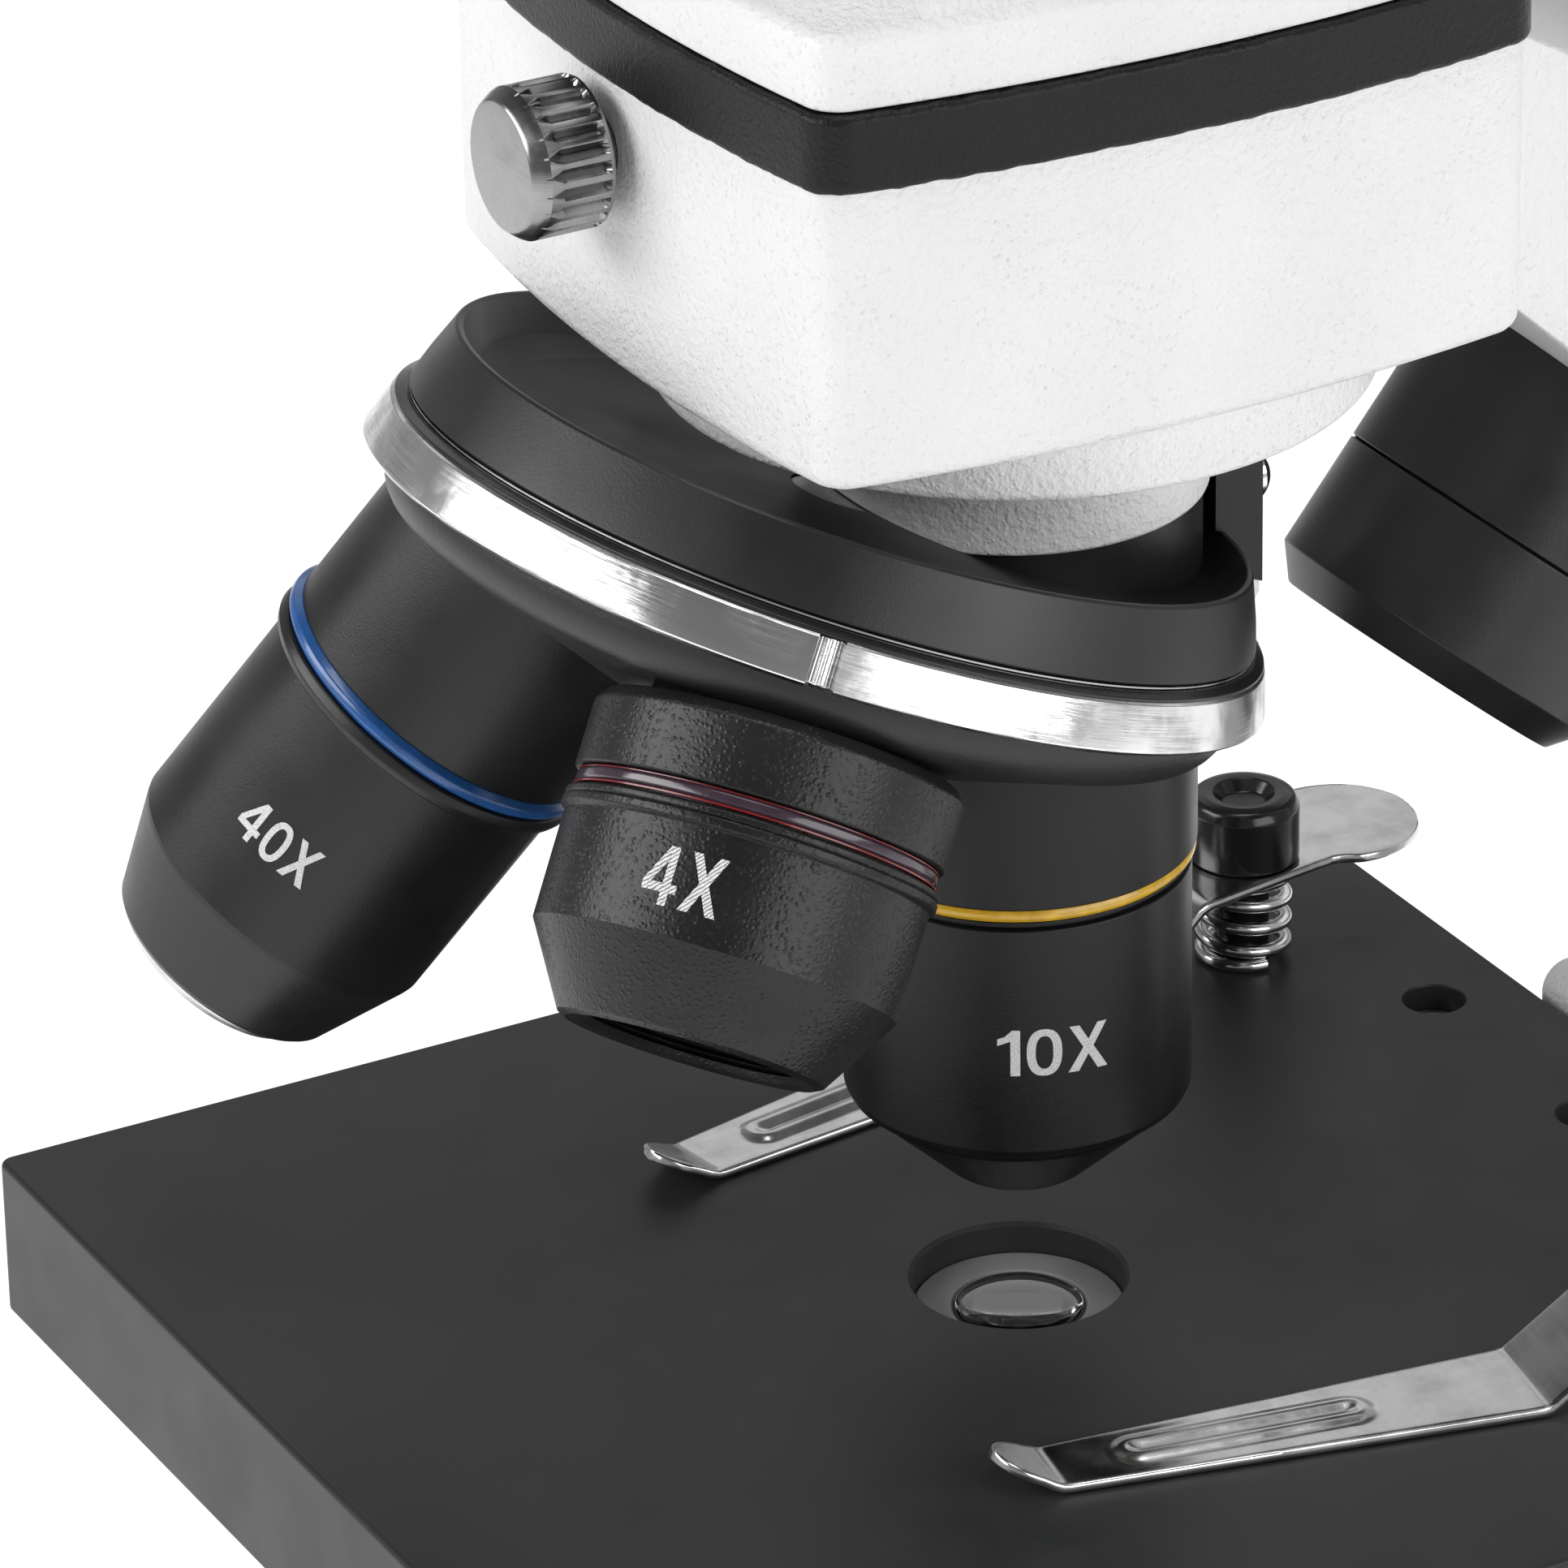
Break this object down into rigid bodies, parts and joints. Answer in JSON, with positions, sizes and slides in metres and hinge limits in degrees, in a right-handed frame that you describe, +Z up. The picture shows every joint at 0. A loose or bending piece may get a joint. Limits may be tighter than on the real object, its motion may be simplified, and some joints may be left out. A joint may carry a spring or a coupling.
{
  "type": "compound microscope",
  "caption": "Upright student microscope: white curved stand, tilted rotating nosepiece, plain black stage with spring clips, inclined eyepiece tube and lamps above and below.",
  "frame": {"origin": "centre of the base on the table", "axes": "+Z up, +Y from the stage towards the arm, +X to the right as seen by someone facing the stage from the front"},
  "size_m": [0.116, 0.16, 0.2963],
  "materials": {
    "white_enamel": "fine textured powder coat",
    "black_enamel": "satin",
    "stage_enamel": "smooth matte",
    "black_plastic": "fine grain",
    "bright_chrome": "polished with fine turning lines",
    "dark_chrome": "polished",
    "steel": "turned or ground",
    "bare_aluminium": "machined",
    "bush_brass": "turned",
    "yellow_ring": "gloss",
    "blue_ring": "gloss",
    "red_ring": "gloss",
    "optical_glass": "polished and coated",
    "foot_rubber": "matt",
    "led_board": "lacquered circuit board with a light chip"
  },
  "bodies": {
    "stand": {"base_casting": "white_enamel", "bottom_plate": "black_plastic", "bottom_plate_screws": "steel", "rubber_feet": "foot_rubber", "lower_lamp_housing": "black_enamel", "lower_lamp_lens": "optical_glass", "lower_led_board": "led_board", "power_jack": "black_plastic", "arm": "white_enamel", "arm_bolts": "steel", "focus_bushings": "bush_brass", "head_block": "white_enamel", "head_band": "black_plastic", "nosepiece_cup": "black_enamel", "nosepiece_spacer_ring": "black_enamel", "nosepiece_pivot": "steel", "detent_bracket": "black_enamel", "detent_screws": "bright_chrome", "detent_spring": "steel", "upper_lamp_barrel": "black_enamel", "upper_lamp_collar": "black_enamel", "upper_lamp_lens": "optical_glass", "upper_led_board": "led_board"},
    "nosepiece": {"nosepiece_turret": "black_enamel", "nosepiece_ring": "bright_chrome", "objective_4x_barrel": "black_enamel", "objective_4x_ring": "red_ring", "objective_4x_lens": "optical_glass", "objective_10x_barrel": "black_enamel", "objective_10x_ring": "yellow_ring", "objective_10x_lens": "optical_glass", "objective_40x_barrel": "black_enamel", "objective_40x_ring": "blue_ring"},
    "sprung_nose_40x": {"objective_40x_nose": "bare_aluminium", "objective_40x_lens": "optical_glass"},
    "stage": {"stage_plate": "stage_enamel", "stage_bracket": "black_enamel", "stage_screws": "steel", "focus_slide": "bare_aluminium", "focus_rack": "steel", "condenser_ring": "black_enamel", "condenser_lens": "optical_glass", "diaphragm_pivot": "steel", "clip_posts": "black_plastic"},
    "coarse_drive": {"coarse_shaft": "steel", "coarse_knobs": "black_plastic"},
    "fine_drive": {"fine_shaft": "steel", "fine_knobs": "black_plastic"},
    "diaphragm": {"diaphragm_disc": "black_enamel"},
    "clip_spring_left": {"clip_spring_left": "bright_chrome"},
    "clip_left": {"clip_left": "bright_chrome"},
    "clip_spring_right": {"clip_spring_right": "bright_chrome"},
    "clip_right": {"clip_right": "bright_chrome"},
    "viewing_head": {"monocular_head": "white_enamel", "head_prism": "optical_glass", "eyepiece_tube": "black_enamel"},
    "eyepiece": {"eyepiece_body": "black_plastic", "eyepiece_lenses": "optical_glass"},
    "head_lock_screw": {"head_lock_screw": "dark_chrome"},
    "rocker_switch": {"rocker_switch": "black_plastic"}
  },
  "joints": [
    {"name": "nosepiece_turn", "type": "hinge", "parent": "stand", "child": "nosepiece", "pos_m": [0, -0.0353, 0.175], "axis": [0, 0.3697, 0.9291], "continuous": true, "deforming": ["detent_spring"]},
    {"name": "nose_40x_retract", "type": "slide", "parent": "nosepiece", "child": "sprung_nose_40x", "axis": [0.3202, 0.5153, 0.7949], "range_m": [0, 0.002], "stiffness_N_per_m": 150, "springref_m": -0.003},
    {"name": "stage_focus", "type": "slide", "parent": "stand", "child": "stage", "axis": [0, 0, 1], "range_m": [-0.022, 0.0015]},
    {"name": "coarse_turn", "type": "hinge", "parent": "stand", "child": "coarse_drive", "pos_m": [0, 0.0459, 0.075], "axis": [-1, 0, 0], "range_deg": [-250, 20]},
    {"name": "fine_turn", "type": "hinge", "parent": "stand", "child": "fine_drive", "pos_m": [0, 0.0459, 0.075], "axis": [-1, 0, 0], "continuous": true},
    {"name": "diaphragm_turn", "type": "hinge", "parent": "stage", "child": "diaphragm", "pos_m": [0, -0.037, 0.114], "axis": [0, 0, 1], "continuous": true},
    {"name": "clip_left_swivel", "type": "hinge", "parent": "stage", "child": "clip_spring_left", "pos_m": [-0.0297, 0.0118, 0.1321], "axis": [0, 0, -1], "range_deg": [-4, 90]},
    {"name": "clip_left_lift", "type": "hinge", "parent": "clip_spring_left", "child": "clip_left", "pos_m": [-0.02909, 0.00835, 0.1321], "axis": [-0.9848, -0.1736, 0], "range_deg": [0, 8], "stiffness_Nm_per_rad": 0.05, "springref_deg": -3.44, "deforming": ["clip_spring_left"]},
    {"name": "clip_right_swivel", "type": "hinge", "parent": "stage", "child": "clip_spring_right", "pos_m": [0.0297, 0.0118, 0.1321], "axis": [0, 0, 1], "range_deg": [-4, 90]},
    {"name": "clip_right_lift", "type": "hinge", "parent": "clip_spring_right", "child": "clip_right", "pos_m": [0.02909, 0.00835, 0.1321], "axis": [-0.9848, 0.1736, 0], "range_deg": [0, 8], "stiffness_Nm_per_rad": 0.05, "springref_deg": -3.44, "deforming": ["clip_spring_right"]},
    {"name": "head_turn", "type": "hinge", "parent": "stand", "child": "viewing_head", "pos_m": [0, -0.022, 0.215], "axis": [0, 0, 1], "continuous": true},
    {"name": "eyepiece_pull", "type": "slide", "parent": "viewing_head", "child": "eyepiece", "axis": [0, 0.7071, 0.7071], "range_m": [0, 0.03]},
    {"name": "lock_screw_turn", "type": "hinge", "parent": "stand", "child": "head_lock_screw", "pos_m": [0, -0.0495, 0.2042], "axis": [0, -1, 0], "range_deg": [-720, 0]},
    {"name": "switch_rock", "type": "hinge", "parent": "stand", "child": "rocker_switch", "pos_m": [0.02, 0.075, 0.021], "axis": [1, 0, 0], "range_deg": [-8, 8]}
  ],
  "couplings": [
    {"joint": "coarse_turn", "follows": "stage_focus", "rad_per_m": 192.31}
  ]
}
